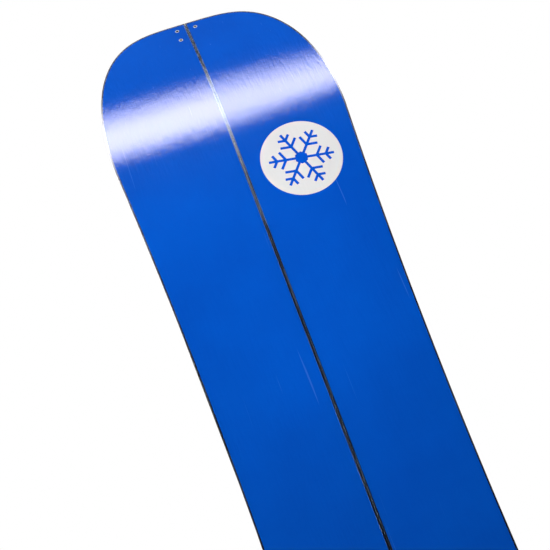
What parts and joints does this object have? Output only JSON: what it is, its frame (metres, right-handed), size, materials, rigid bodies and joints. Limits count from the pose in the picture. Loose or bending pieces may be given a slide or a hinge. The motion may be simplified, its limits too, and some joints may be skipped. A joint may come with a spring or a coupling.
{
  "type": "splitboard",
  "caption": "Twin-ski snowboard that parts along a steel-edged centre seam, with turning end clips, split hooks and T-slot binding rails.",
  "frame": {"origin": "on the base, in the middle of the seam and of the board's length; the mount binding_platform names it", "axes": "+Z along the board towards the tip, +Y from the base towards the deck, +X to the right when the base is looked at with the tip up"},
  "size_m": [0.3042, 0.0481, 1.5828],
  "materials": {
    "base": "satin sintered",
    "disc": "satin sintered",
    "edge": "ground",
    "laminate": "glass weave",
    "core": "raw poplar",
    "sidewall": "satin",
    "topsheet": "matte",
    "rail": "black anodised",
    "hardware": "satin"
  },
  "bodies": {
    "left_ski": {"left_base_sheet": "base", "left_core": "core", "left_inner_edge": "edge", "left_inner_sidewall": "sidewall", "left_lower_laminate": "laminate", "left_outer_edge": "edge", "left_outer_sidewall": "sidewall", "left_tail_hook": "hardware", "left_tail_hook_screw_1": "hardware", "left_tail_hook_screw_2": "hardware", "left_tail_rail": "rail", "left_tail_spacer": "sidewall", "left_tip_hook": "hardware", "left_tip_hook_screw_1": "hardware", "left_tip_hook_screw_2": "hardware", "left_tip_rail": "rail", "left_tip_spacer": "sidewall", "left_topsheet": "topsheet", "left_touring_insert_1": "hardware", "left_touring_insert_2": "hardware", "left_touring_insert_3": "hardware", "left_upper_laminate": "laminate", "tip_receiver": "hardware", "tip_receiver_rivet_1": "hardware", "tip_receiver_rivet_2": "hardware", "tail_clip_rivet": "hardware"},
    "right_ski": {"right_base_sheet": "base", "right_core": "core", "right_inner_edge": "edge", "right_inner_sidewall": "sidewall", "right_lower_laminate": "laminate", "right_outer_edge": "edge", "right_outer_sidewall": "sidewall", "right_tail_hook": "hardware", "right_tail_hook_screw_1": "hardware", "right_tail_hook_screw_2": "hardware", "right_tail_rail": "rail", "right_tail_spacer": "sidewall", "right_tip_hook": "hardware", "right_tip_hook_screw_1": "hardware", "right_tip_hook_screw_2": "hardware", "right_tip_rail": "rail", "right_tip_spacer": "sidewall", "right_topsheet": "topsheet", "right_touring_insert_1": "hardware", "right_touring_insert_2": "hardware", "right_touring_insert_3": "hardware", "right_upper_laminate": "laminate", "base_disc": "disc", "tail_receiver": "hardware", "tail_receiver_rivet_1": "hardware", "tail_receiver_rivet_2": "hardware", "tip_clip_rivet": "hardware"},
    "tip_clip": {"tip_clip": "hardware"},
    "tail_clip": {"tail_clip": "hardware"},
    "left_tail_slider": {"left_tail_slider": "hardware"},
    "left_tip_slider": {"left_tip_slider": "hardware"},
    "right_tail_slider": {"right_tail_slider": "hardware"},
    "right_tip_slider": {"right_tip_slider": "hardware"}
  },
  "joints": [
    {"name": "ski_split", "type": "slide", "parent": "left_ski", "child": "right_ski", "axis": [1, 0, 0], "range_m": [0, 0.04]},
    {"name": "tip_clip_turn", "type": "hinge", "parent": "right_ski", "child": "tip_clip", "pos_m": [0.0117, 0.03605, 0.77707], "axis": [0, -0.959, 0.2834], "range_deg": [0, 165]},
    {"name": "tail_clip_turn", "type": "hinge", "parent": "left_ski", "child": "tail_clip", "pos_m": [-0.0117, 0.02685, -0.77903], "axis": [0, -0.9741, -0.2259], "range_deg": [0, 165]},
    {"name": "right_tip_slider_slide", "type": "slide", "parent": "right_ski", "child": "right_tip_slider", "axis": [0, -0.0082, 1], "range_m": [-0.062, 0.062]},
    {"name": "right_tail_slider_slide", "type": "slide", "parent": "right_ski", "child": "right_tail_slider", "axis": [0, 0.0082, 1], "range_m": [-0.062, 0.062]},
    {"name": "left_tip_slider_slide", "type": "slide", "parent": "left_ski", "child": "left_tip_slider", "axis": [0, -0.0082, 1], "range_m": [-0.062, 0.062]},
    {"name": "left_tail_slider_slide", "type": "slide", "parent": "left_ski", "child": "left_tail_slider", "axis": [0, 0.0082, 1], "range_m": [-0.062, 0.062]}
  ],
  "couplings": [
    {"joint": "tip_clip_turn", "follows": "ski_split", "rad_per_m": 71.995},
    {"joint": "tail_clip_turn", "follows": "ski_split", "rad_per_m": 71.995}
  ]
}
